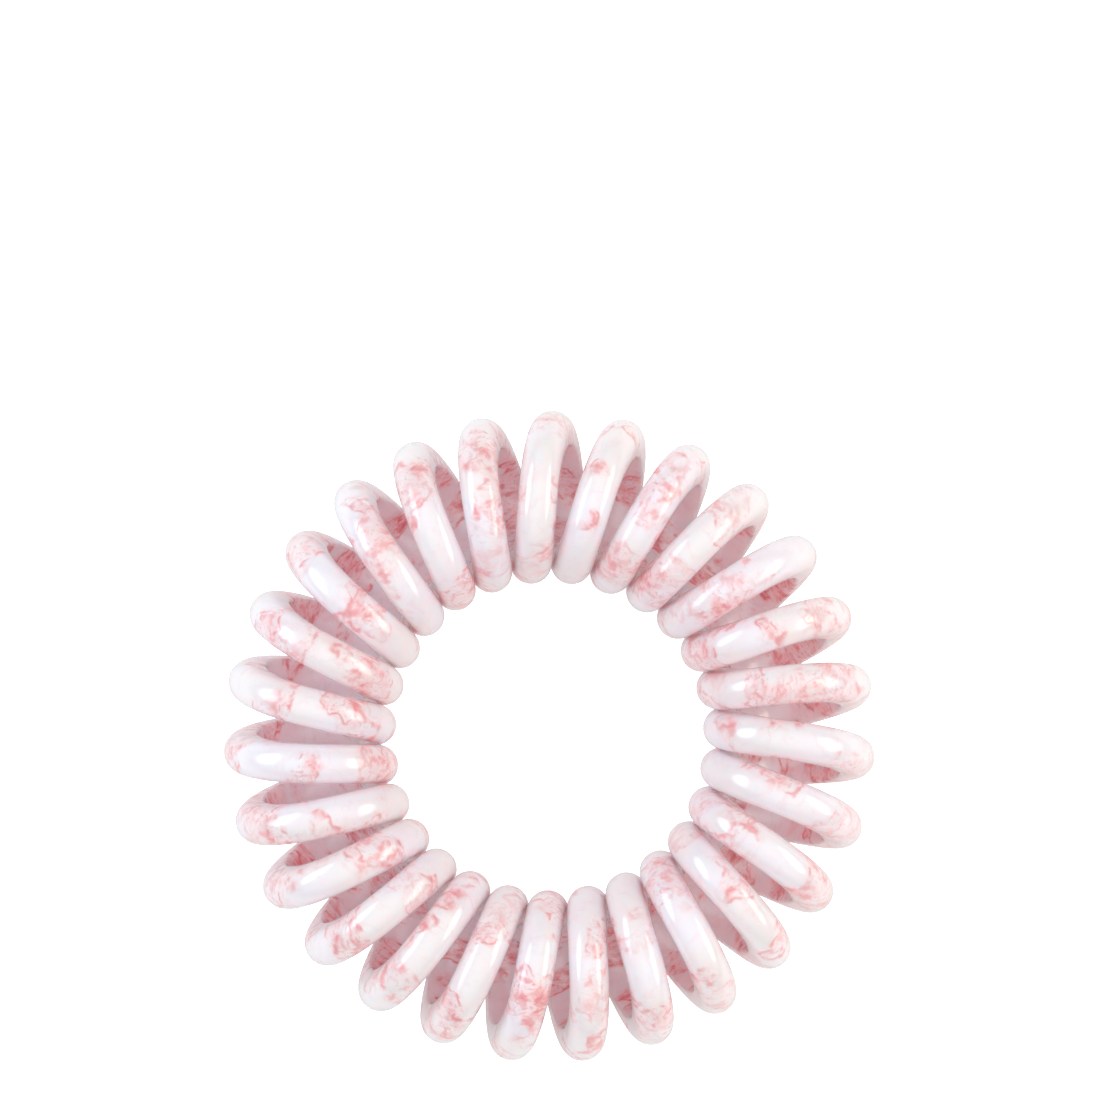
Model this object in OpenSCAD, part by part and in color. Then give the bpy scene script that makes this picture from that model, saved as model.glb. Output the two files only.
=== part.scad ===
// Spiral hair tie: one plastic strand wound into a coil, with the coil's ends joined in a ring.
// It lies flat on its side. The ring's axis is Z, and the turns rest at Z = 0.

/* [Ring] */
// Diameter of the whole tie, over the outermost points of its turns
outer_d = 45; // [38:0.5:55]
// Place of one turn's outermost point round the ring, in degrees from +X
first_turn_at = 89.4; // [0:0.1:360]

/* [Coil] */
// Outer diameter of the coil, which is also the height of the tie as it lies
coil_d = 11.9; // [9:0.1:13]
// Least gap between two turns, on the side that faces the hair
turn_gap = 0.05; // [0.02:0.01:0.6]

/* [Strand] */
// Width of the strand, along the ring
strand_w = 2.7; // [2:0.05:3.2]
// Thickness of the strand, from its round back to its flat face
strand_t = 2.4; // [1.9:0.05:2.9]
// Height of the round back above the widest part of the strand
crown_h = 1.3; // [0.9:0.05:1.5]
// Height of the upright part of each side, below the round back
side_h = 0.3; // [0.1:0.05:0.4]
// Width of the flat face, which looks to the middle of the coil
flat_w = 2.4; // [1.2:0.05:2.7]

/* [Facets] */
// Most triangles that the strand may have
face_limit = 11500; // [7000:500:12500]
// Facets across the round back of the strand
crown_facets = 6; // [4:1:8]

/* [Hidden] */
tie_colour = "mistyrose";

// The strand's path is drawn through the widest part of the strand.
coil_r = coil_d / 2 - crown_h;
ring_r = (outer_d - coil_d) / 2;

// The turns lie closest to each other on the inner side of the ring.
// A turn leans by its own pitch, so it takes a little more room there than its width.
inner_r = ring_r - coil_r;
lean = atan((strand_w + turn_gap) / (2 * PI * coil_r));
turn_pitch = (strand_w + turn_gap) / cos(lean);
turns = floor(2 * PI * inner_r / turn_pitch);

// Outline of the strand as [across, outwards], anticlockwise from the right-hand side
crown = [for (i = [0 : crown_facets]) let (a = 180 * i / crown_facets)
    [strand_w / 2 * cos(a), crown_h * sin(a)]];
flat_at = crown_h - strand_t;
section = concat(crown, [
    [-strand_w / 2, -side_h],
    [-flat_w / 2, flat_at],
    [flat_w / 2, flat_at],
    [strand_w / 2, -side_h]
]);
sides = len(section);

// A multiple of four puts a ring of points on the outer, top, inner and bottom point of each turn.
steps_per_turn = 4 * floor(face_limit / (8 * sides * turns));
steps = turns * steps_per_turn;

// Directions at an angle round the ring (at) and an angle round the coil (wind)
function ring_out(at) = [cos(at), sin(at), 0];
function ring_along(at) = [-sin(at), cos(at), 0];
function coil_out(at, wind) = cos(wind) * ring_out(at) + [0, 0, sin(wind)];
function coil_round(at, wind) = [0, 0, cos(wind)] - sin(wind) * ring_out(at);

// Direction in which the strand runs: round the coil, and a little way along the ring
function strand_along(at, wind) =
    let (run = coil_r * coil_round(at, wind)
        + (ring_r + coil_r * cos(wind)) / turns * ring_along(at))
    run / norm(run);

// The strand's outline, set square to the strand at one step of its path
function section_at(step) =
    let (
        wind = 360 * step / steps_per_turn,
        at = first_turn_at + wind / turns,
        out = coil_out(at, wind),
        across = cross(strand_along(at, wind), out),
        middle = [0, 0, coil_d / 2] + ring_r * ring_out(at) + coil_r * out
    )
    [for (p = section) middle + p[0] * across + p[1] * out];

// Two triangles join each side of one outline to the same side of the next.
// Their points run clockwise as seen from outside.
function strip(step, side) =
    let (
        next_side = (side + 1) % sides,
        here = step * sides,
        ahead = (step + 1) % steps * sides
    )
    [
        [here + side, ahead + next_side, ahead + side],
        [here + side, here + next_side, ahead + next_side]
    ];

module coil() {
    color(tie_colour)
        polyhedron(
            points = [for (step = [0 : steps - 1]) each section_at(step)],
            faces = [for (step = [0 : steps - 1], side = [0 : sides - 1]) each strip(step, side)],
            convexity = 20
        );
}

coil();
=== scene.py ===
# Spiral hair tie: one strand of marbled plastic, wound into a coil that closes into a ring.
# It lies flat on a pale table, and the camera looks straight down at it.
from math import cos, pi, radians, sin, sqrt, tau

import bpy
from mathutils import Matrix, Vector


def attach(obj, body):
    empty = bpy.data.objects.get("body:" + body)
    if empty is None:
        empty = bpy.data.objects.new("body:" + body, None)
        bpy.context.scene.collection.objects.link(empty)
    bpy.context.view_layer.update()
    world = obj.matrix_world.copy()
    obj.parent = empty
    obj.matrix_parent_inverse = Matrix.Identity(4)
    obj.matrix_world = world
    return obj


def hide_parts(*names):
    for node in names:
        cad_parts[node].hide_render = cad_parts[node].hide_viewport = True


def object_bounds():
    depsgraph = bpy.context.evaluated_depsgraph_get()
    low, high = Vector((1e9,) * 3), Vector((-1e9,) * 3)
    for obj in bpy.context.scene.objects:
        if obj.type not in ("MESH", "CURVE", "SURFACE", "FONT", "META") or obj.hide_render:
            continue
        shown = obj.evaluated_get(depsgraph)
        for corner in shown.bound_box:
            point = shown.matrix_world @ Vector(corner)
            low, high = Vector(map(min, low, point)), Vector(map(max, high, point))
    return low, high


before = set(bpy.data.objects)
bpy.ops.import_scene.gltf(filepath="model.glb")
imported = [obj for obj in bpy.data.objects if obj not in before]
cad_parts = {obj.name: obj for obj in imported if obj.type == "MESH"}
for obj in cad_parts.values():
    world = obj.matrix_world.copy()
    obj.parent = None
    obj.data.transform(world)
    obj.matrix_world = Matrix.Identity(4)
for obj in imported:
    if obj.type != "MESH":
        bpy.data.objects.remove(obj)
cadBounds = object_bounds()
mm = 0.001


def deselectAll():
    if bpy.context.mode != "OBJECT":
        bpy.ops.object.mode_set(mode="OBJECT")
    bpy.ops.object.select_all(action="DESELECT")


def pickOnly(piece):
    deselectAll()
    piece.select_set(True)
    bpy.context.view_layer.objects.active = piece


def selectPoints(piece, wanted):
    # picks the points for which wanted(place) is true, and leaves the piece in edit mode
    bpy.ops.object.mode_set(mode="EDIT")
    bpy.ops.mesh.select_mode(type="VERT")
    bpy.ops.mesh.select_all(action="DESELECT")
    bpy.ops.object.mode_set(mode="OBJECT")
    for point in piece.data.vertices:
        point.select = bool(wanted(point.co))
    bpy.ops.object.mode_set(mode="EDIT")


# camera: above the ring, a little towards its far side, and far off, so that the turns hardly
# converge. It looks straight down, and the picture is shifted to where the ring falls in it.
cameraPlan = {
    "height": 500 * mm,          # above the middle of the tie's thickness
    "back": 12 * mm,             # along Y from the ring's middle
    "frameWidth": 75.92 * mm,    # what the picture takes in there
    "ringAcross": 549.5 / 1100,  # where the ring's middle falls in the picture
    "ringDown": 736.5 / 1100,
    "sensor": 36,                # millimetres, the width that the lens is worked out for
    "nearest": 0.01,
    "farthest": 10,
}


def addCamera(plan):
    low, high = cadBounds
    middle = (low[2] + high[2]) / 2
    bpy.ops.object.camera_add(location=(0, plan["back"], middle + plan["height"]), rotation=(0, 0, 0))
    camera = bpy.context.object
    camera.name = "camera"
    camera.data.sensor_width = plan["sensor"]
    camera.data.lens = plan["sensor"] * plan["height"] / plan["frameWidth"]
    camera.data.shift_x = 0.5 - plan["ringAcross"]
    camera.data.shift_y = plan["ringDown"] - 0.5 - plan["back"] / plan["frameWidth"]
    camera.data.clip_start = plan["nearest"]
    camera.data.clip_end = plan["farthest"]
    bpy.context.scene.camera = camera


addCamera(cameraPlan)
print("camera: placed")


# strand: the same sizes as the solid's, with a finer outline and many more steps
strand = {
    "turns": 27,
    "ringDiameter": 45 * mm,      # over the outermost points of the turns
    "coilDiameter": 11.9 * mm,
    "firstTurnAt": 89.4,          # degrees round the ring from +X
    "width": 2.7 * mm,
    "thickness": 2.4 * mm,
    "crownHeight": 1.3 * mm,      # the round back, above the widest part
    "sideHeight": 0.3 * mm,       # the upright part of each side
    "flatWidth": 2.6 * mm,        # the face that looks to the middle of the coil
    "flatEdgeRound": 0.22 * mm,
    "flatEdgeSegments": 5,
    "crownPoints": 40,            # of the whole circle that the crown is half of
    "stepsPerTurn": 80,
    "smoothAngle": 32,            # degrees; the strand has no sharper edge
    "stepJoin": 0.01 * mm,        # points this close are one, between two steps
    "endJoin": 0.002 * mm,        # the same for the wound strand's two ends. They lie 0.003 to
                                  # 0.004 mm apart, so nothing joins and that seam stays open.
    "veinSqueeze": 1.35,          # the marbling is this much shorter along the strand than across it
}


def drawOutline(size):
    # X is across the strand, Y is outwards, and Y = 0 is the widest part
    deselectAll()
    bpy.ops.mesh.primitive_circle_add(vertices=size["crownPoints"], radius=size["width"] / 2)
    outline = bpy.context.object
    outline.name = "spiralStrand"
    tiny = 0.001 * mm
    selectPoints(outline, lambda place: place.y < -tiny)
    bpy.ops.mesh.delete(type="VERT")
    bpy.ops.mesh.select_all(action="SELECT")
    bpy.ops.transform.resize(value=(1, size["crownHeight"] / (size["width"] / 2), 1),
                             center_override=(0, 0, 0))
    selectPoints(outline, lambda place: place.y < tiny)
    bpy.ops.mesh.extrude_region_move(
        TRANSFORM_OT_translate={"value": (0, -size["sideHeight"], 0)})
    taper = size["thickness"] - size["crownHeight"] - size["sideHeight"]
    bpy.ops.mesh.extrude_region_move(TRANSFORM_OT_translate={"value": (0, -taper, 0)})
    bpy.ops.transform.resize(value=(size["flatWidth"] / size["width"], 1, 1),
                             center_override=(0, size["crownHeight"] - size["thickness"], 0))
    bpy.ops.mesh.edge_face_add()
    bpy.ops.mesh.bevel(
        offset=size["flatEdgeRound"], segments=size["flatEdgeSegments"], affect="VERTICES")
    bpy.ops.object.mode_set(mode="OBJECT")
    return outline


def strandLength(size):
    # length of the strand's path, once round the ring
    coilRadius = size["coilDiameter"] / 2 - size["crownHeight"]
    ringRadius = (size["ringDiameter"] - size["coilDiameter"]) / 2
    steps = size["turns"] * size["stepsPerTurn"]
    total = 0
    for step in range(steps):
        wind = tau * step / size["stepsPerTurn"]
        along = (ringRadius + coilRadius * cos(wind)) / size["turns"]
        total += sqrt(coilRadius ** 2 + along ** 2) * tau / size["stepsPerTurn"]
    return total


def drawBar(outline, size):
    # one short step of straight strand, repeated into a bar as long as the whole strand
    steps = size["turns"] * size["stepsPerTurn"]
    step = strandLength(size) / steps
    pickOnly(outline)
    bpy.ops.object.mode_set(mode="EDIT")
    bpy.ops.mesh.select_all(action="SELECT")
    bpy.ops.mesh.extrude_region_move(TRANSFORM_OT_translate={"value": (0, 0, step)})
    bpy.ops.object.mode_set(mode="OBJECT")
    repeat = outline.modifiers.new("repeat", "ARRAY")
    repeat.count = steps
    repeat.use_relative_offset = False
    repeat.use_constant_offset = True
    repeat.constant_offset_displace = (0, 0, step)
    repeat.use_merge_vertices = True
    repeat.merge_threshold = size["stepJoin"]
    bpy.ops.object.modifier_apply(modifier="repeat")


def windBar(bar, size):
    # winds the straight bar into the coil. Bend tools squeeze the strand on the ring's inner
    # side, so each point is set on the path here, square to it, as in the solid.
    coilRadius = size["coilDiameter"] / 2 - size["crownHeight"]
    ringRadius = (size["ringDiameter"] - size["coilDiameter"]) / 2
    length = strandLength(size)
    roundRadius = size["veinSqueeze"] * length / tau
    up = Vector((0, 0, 1))
    bar.data.attributes.new("uncoiled", "FLOAT_VECTOR", "POINT")
    bar.data.attributes.new("inward", "FLOAT", "POINT")
    uncoiled, inward = bar.data.attributes["uncoiled"], bar.data.attributes["inward"]
    for point in bar.data.vertices:
        across, outwards, run = point.co
        wind = tau * size["turns"] * run / length
        at = radians(size["firstTurnAt"]) + wind / size["turns"]
        ringOut = Vector((cos(at), sin(at), 0))
        ringAlong = Vector((-sin(at), cos(at), 0))
        coilOut = cos(wind) * ringOut + sin(wind) * up
        coilRound = cos(wind) * up - sin(wind) * ringOut
        strandAlong = (coilRadius * coilRound
                       + (ringRadius + coilRadius * cos(wind)) / size["turns"] * ringAlong)
        sideways = strandAlong.normalized().cross(coilOut)
        middle = size["coilDiameter"] / 2 * up + ringRadius * ringOut + coilRadius * coilOut
        # the marbling is drawn on the straight strand, closed in one wide hoop, in millimetres
        hoop = tau * run / length
        hoopRadius = roundRadius + outwards
        uncoiled.data[point.index].vector = Vector((
            hoopRadius * cos(hoop), hoopRadius * sin(hoop), across)) / mm
        # 0 on the strand's back, 1 on its flat face; it masks the painted shade on the flat face
        inward.data[point.index].value = (size["crownHeight"] - outwards) / size["thickness"]
        point.co = middle + across * sideways + outwards * coilOut


def finishCoil(coil, size):
    pickOnly(coil)
    bpy.ops.object.mode_set(mode="EDIT")
    bpy.ops.mesh.select_all(action="SELECT")
    bpy.ops.mesh.remove_doubles(threshold=size["endJoin"])
    bpy.ops.mesh.normals_make_consistent(inside=False)
    bpy.ops.object.mode_set(mode="OBJECT")
    bpy.ops.object.shade_smooth_by_angle(angle=radians(size["smoothAngle"]))


strandPiece = drawOutline(strand)
drawBar(strandPiece, strand)
windBar(strandPiece, strand)
finishCoil(strandPiece, strand)
print("strand: wound,", len(strandPiece.data.polygons), "faces")


# marbling: white plastic with rose pigment, which gathers in clouds with veins round them, and painted
# shade on the flat face inside the coil.
# A scale is in waves a millimetre, a reach in millimetres. An edge is where the noise, from 0 to
# 1, begins to show and where it shows in full. An amount is how much pigment it lays on.
marbling = {
    "porcelain": (1.0, 0.835, 0.90, 1),
    "cream": (1.0, 0.825, 0.85, 1),
    "blush": (0.985, 0.64, 0.67, 1),
    "rose": (0.76, 0.22, 0.245, 1),
    "innerShadeTint": (1.0, 0.83, 0.87, 1),    # painted shade: the flat face, in shade inside the coil, is painted a little deeper
    # painted shade: the rose pigment is painted deeper on the flat face too
    "innerShadeRose": (0.66, 0.14, 0.17, 1),
    "innerShadeEdge": (0.55, 1.0),             # where the painted shade begins and where it is full, from the strand's back to its flat face
    "creamScale": 0.13,
    "creamEdge": (0.42, 0.58),
    "stirScale": 0.33,
    "stirReach": 2.0,
    "tearScale": 1.1,
    "tearReach": 0.7,
    "cloudScale": 0.21,
    "cloudEdge": (0.44, 0.625),
    "grainScale": 0.85,
    "hazeEdge": (0.27, 0.64),
    "hazeAmount": 0.90,
    "coreEdge": (0.52, 0.74),
    "coreAmount": 0.78,
    "speckScale": 3.2,
    "speckEdge": (0.50, 0.70),
    "speckAmount": 0.45,
    "gapScale": 1.0,                      # gaps in the veins
    "gapEdge": (0.42, 0.62),
    "hemAt": 0.53,                        # the vein that hems a cloud lies where its noise is this
    "hemEdge": (0.030, 0.0),
    "hemAmount": 0.65,
    "veinScale": 0.5,
    "veinAt": 0.5,
    "veinEdge": (0.06, 0.0),
    "veinAmount": 0.55,
    "veinInClear": 0.15,                  # how strong a vein is outside the clouds
    "strengthScale": 0.16,                # some stretches hold much pigment and others little
    "strengthEdge": (0.30, 0.52),
    "leastStrength": 0.45,
}


def marbledPlastic(look):
    material = bpy.data.materials.new("marbledPlastic")
    material.use_nodes = True
    tree = material.node_tree
    tree.nodes.clear()

    def add(kind, settings=None, inputs=None):
        node = tree.nodes.new(kind)
        for name, value in (settings or {}).items():
            setattr(node, name, value)
        for name, value in (inputs or {}).items():
            if isinstance(value, bpy.types.NodeSocket):
                tree.links.new(value, node.inputs[name])
            else:
                node.inputs[name].default_value = value
        return node

    def noise(place, scale, detail):
        return add("ShaderNodeTexNoise", None, {"Vector": place, "Scale": scale, "Detail": detail})

    def stir(place, scale, reach, detail):
        # pushes each place aside, a different way from spot to spot
        swirl = noise(place, scale, detail).outputs["Color"]
        centred = add("ShaderNodeVectorMath", {"operation": "SUBTRACT"}, {0: swirl, 1: (0.5, 0.5, 0.5)})
        moved = add("ShaderNodeVectorMath", {"operation": "MULTIPLY_ADD"}, {
            0: centred.outputs[0], 1: (reach, reach, reach), 2: place})
        return moved.outputs[0]

    def band(value, edge):
        # 0 at the first edge, 1 at the second, eased in between; the first may be the larger one
        low, high = min(edge), max(edge)
        rising = edge[0] < edge[1]
        eased = add("ShaderNodeMapRange", {"interpolation_type": "SMOOTHSTEP"}, {
            "Value": value, "From Min": low, "From Max": high,
            "To Min": 0.0 if rising else 1.0, "To Max": 1.0 if rising else 0.0})
        return eased.outputs["Result"]

    def maths(operation, first, second=0):
        return add("ShaderNodeMath", {"operation": operation}, {0: first, 1: second}).outputs[0]

    def times(first, second):
        return maths("MULTIPLY", first, second)

    def tint(amount, under, over):
        # sockets 6 and 7 are the two colours that are mixed
        mix = add("ShaderNodeMix", {"data_type": "RGBA"}, {0: amount})
        for index, colour in ((6, under), (7, over)):
            if isinstance(colour, bpy.types.NodeSocket):
                tree.links.new(colour, mix.inputs[index])
            else:
                mix.inputs[index].default_value = colour
        return mix.outputs[2]

    def line(value, at, edge):
        # a thin line where the noise has one value
        return band(maths("ABSOLUTE", maths("SUBTRACT", value, at)), edge)

    place = add("ShaderNodeAttribute", {"attribute_name": "uncoiled"}).outputs["Vector"]
    inward = add("ShaderNodeAttribute", {"attribute_name": "inward"}).outputs["Fac"]
    # painted shade: the flat face, inside the coil, is painted deeper
    flatFaceShade = band(inward, look["innerShadeEdge"])
    stirred = stir(place, look["stirScale"], look["stirReach"], detail=2)
    torn = stir(stirred, look["tearScale"], look["tearReach"], detail=3)

    # pigment gathers in clouds, which thin out to nothing between them
    zone = band(noise(stirred, look["cloudScale"], detail=2).outputs["Fac"], look["cloudEdge"])
    grain = noise(torn, look["grainScale"], detail=4).outputs["Fac"]
    haze = times(band(grain, look["hazeEdge"]), zone)
    core = times(band(grain, look["coreEdge"]), zone)
    dots = add("ShaderNodeTexNoise", None, {
        "Vector": torn, "Scale": look["speckScale"], "Detail": 2, "Roughness": 0.6})
    specks = times(band(dots.outputs["Fac"], look["speckEdge"]), zone)

    # broken veins run round the clouds, and a few faint ones through the clear stretches
    gaps = band(noise(place, look["gapScale"], detail=2).outputs["Fac"], look["gapEdge"])
    rim = noise(torn, look["cloudScale"], detail=2).outputs["Fac"]
    hem = times(line(rim, look["hemAt"], look["hemEdge"]), gaps)
    ridge = noise(torn, look["veinScale"], detail=2).outputs["Fac"]
    vein = times(times(line(ridge, look["veinAt"], look["veinEdge"]), gaps),
                 maths("ADD", times(zone, 1 - look["veinInClear"]), look["veinInClear"]))

    creamy = band(noise(stirred, look["creamScale"], detail=1).outputs["Fac"], look["creamEdge"])
    milk = tint(creamy, look["porcelain"], look["cream"])
    # painted shade: the base colour and the deep rose are both painted deeper on the flat face
    groundWithShade = tint(flatFaceShade, milk, look["innerShadeTint"])
    deepRoseWithShade = tint(flatFaceShade, look["rose"], look["innerShadeRose"])
    colour = tint(times(haze, look["hazeAmount"]), groundWithShade, look["blush"])
    colour = tint(times(core, look["coreAmount"]), colour, deepRoseWithShade)
    colour = tint(times(specks, look["speckAmount"]), colour, deepRoseWithShade)
    colour = tint(times(hem, look["hemAmount"]), colour, deepRoseWithShade)
    colour = tint(times(vein, look["veinAmount"]), colour, deepRoseWithShade)

    # the pigment is weaker in some stretches, but never on the flat face, so the painted shade there
    # stays full
    least = look["leastStrength"]
    strength = band(noise(place, look["strengthScale"], detail=1).outputs["Fac"], look["strengthEdge"])
    strength = maths("ADD", times(strength, 1 - least), least)
    strength = maths("MAXIMUM", strength, flatFaceShade)
    colour = tint(strength, groundWithShade, colour)

    # a translucent body under a glossy skin
    shader = add("ShaderNodeBsdfPrincipled", None, {
        "Base Color": colour, "Roughness": 0.35, "IOR": 1.5, "Specular IOR Level": 0.3,
        "Subsurface Weight": 1.0, "Subsurface Radius": (1.0, 0.55, 0.5),
        "Subsurface Scale": 4.0 * mm, "Subsurface Anisotropy": 0.6,
        "Coat Weight": 1.0, "Coat Roughness": 0.15, "Coat IOR": 2.0})
    shader.subsurface_method = "RANDOM_WALK"
    add("ShaderNodeOutputMaterial", None, {"Surface": shader.outputs[0]})
    return material


strandPiece.data.materials.clear()
strandPiece.data.materials.append(marbledPlastic(marbling))
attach(strandPiece, "root")
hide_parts("coil")
print("strand: marbled")


# table: a plain pale sheet that goes on well past the picture, overexposed as in the photo
table = {
    "side": 1.6,
    "colour": (0.8, 0.8, 0.8, 1),
    "roughness": 0.8,
    "gloss": 0.2,
    "seenGlow": 0.85,      # what the sheet adds to the picture
    "castGlow": 0.28,      # what it adds to the light on the tie
    "mirrorGlow": 0.08,    # what it adds to its own reflection, which outlines the tie
}


def paleTable(look):
    deselectAll()
    bpy.ops.mesh.primitive_plane_add(size=look["side"], location=(0, 0, 0))
    sheet = bpy.context.object
    sheet.name = "paleTable"
    material = bpy.data.materials.new("paleTable")
    material.use_nodes = True
    shader = material.node_tree.nodes["Principled BSDF"]
    shader.inputs["Base Color"].default_value = look["colour"]
    shader.inputs["Roughness"].default_value = look["roughness"]
    shader.inputs["Specular IOR Level"].default_value = look["gloss"]
    shader.inputs["Emission Color"].default_value = (1, 1, 1, 1)
    nodes, links = material.node_tree.nodes, material.node_tree.links
    rays = nodes.new("ShaderNodeLightPath")
    cast = nodes.new("ShaderNodeMapRange")
    cast.inputs["To Min"].default_value = look["castGlow"]
    cast.inputs["To Max"].default_value = look["mirrorGlow"]
    links.new(rays.outputs["Is Glossy Ray"], cast.inputs["Value"])
    glow = nodes.new("ShaderNodeMapRange")
    glow.inputs["To Max"].default_value = look["seenGlow"]
    links.new(cast.outputs["Result"], glow.inputs["To Min"])
    links.new(rays.outputs["Is Camera Ray"], glow.inputs["Value"])
    links.new(glow.outputs["Result"], shader.inputs["Emission Strength"])
    sheet.data.materials.append(material)


paleTable(table)

# lights: a cool softbox on the left, a warm one on the right, and a bright plain room
lightPlan = {
    "distance": 200 * mm,
    "elevation": 31,         # degrees above the table
    "coolTurn": 18,          # degrees that the cool one stands towards the far side
    "warmTurn": 5,
    "width": 200 * mm,       # along Y
    "height": 95 * mm,
    "coolWatts": 0.105,
    "warmWatts": 0.105,
    "cool": (0.84, 0.92, 1.0),
    "warm": (1.0, 0.925, 0.83),
    "ceiling": 1.17,         # brightness straight above
    "horizon": 0.28,
    "seenWall": 0.93,        # how bright the room looks behind the table from a low angle
    "coolWall": (0.92, 0.98, 1.0, 1),
    "warmWall": (1.0, 0.98, 0.92, 1),
}


def addSoftboxes(plan):
    rise = radians(plan["elevation"])
    away = plan["distance"]
    for side, name in ((-1, "cool"), (1, "warm")):
        turn = side * radians(plan[name + "Turn"])
        place = (side * away * cos(rise) * cos(turn), side * away * cos(rise) * sin(turn),
                 away * sin(rise))
        bpy.ops.object.light_add(
            type="AREA", location=place, rotation=(0, side * (pi / 2 - rise), turn))
        box = bpy.context.object
        box.name = name + "Softbox"
        box.data.shape = "ELLIPSE"
        box.data.size = plan["height"]
        box.data.size_y = plan["width"]
        box.data.energy = plan[name + "Watts"]
        box.data.color = plan[name]


def lightRoom(plan):
    # the room is brightest straight above, and cooler on the left than on the right
    world = bpy.data.worlds.new("room")
    bpy.context.scene.world = world
    world.use_nodes = True
    nodes, links = world.node_tree.nodes, world.node_tree.links
    towards = nodes.new("ShaderNodeSeparateXYZ")
    links.new(nodes.new("ShaderNodeTexCoord").outputs["Generated"], towards.inputs[0])
    fall = nodes.new("ShaderNodeMapRange")
    fall.inputs["To Min"].default_value = plan["horizon"]
    fall.inputs["To Max"].default_value = plan["ceiling"]
    links.new(towards.outputs["Z"], fall.inputs["Value"])
    seen = nodes.new("ShaderNodeMapRange")
    seen.inputs["To Max"].default_value = plan["seenWall"]
    links.new(fall.outputs["Result"], seen.inputs["To Min"])
    links.new(nodes.new("ShaderNodeLightPath").outputs["Is Camera Ray"], seen.inputs["Value"])
    links.new(seen.outputs["Result"], nodes["Background"].inputs["Strength"])
    across = nodes.new("ShaderNodeMapRange")
    across.inputs["From Min"].default_value = -1
    links.new(towards.outputs["X"], across.inputs["Value"])
    # sockets 6 and 7 are the two colours that are mixed
    walls = nodes.new("ShaderNodeMix")
    walls.data_type = "RGBA"
    walls.inputs[6].default_value = plan["coolWall"]
    walls.inputs[7].default_value = plan["warmWall"]
    links.new(across.outputs["Result"], walls.inputs[0])
    links.new(walls.outputs[2], nodes["Background"].inputs["Color"])


addSoftboxes(lightPlan)
lightRoom(lightPlan)
bpy.context.scene.view_settings.view_transform = "Standard"
print("table and lights: placed")
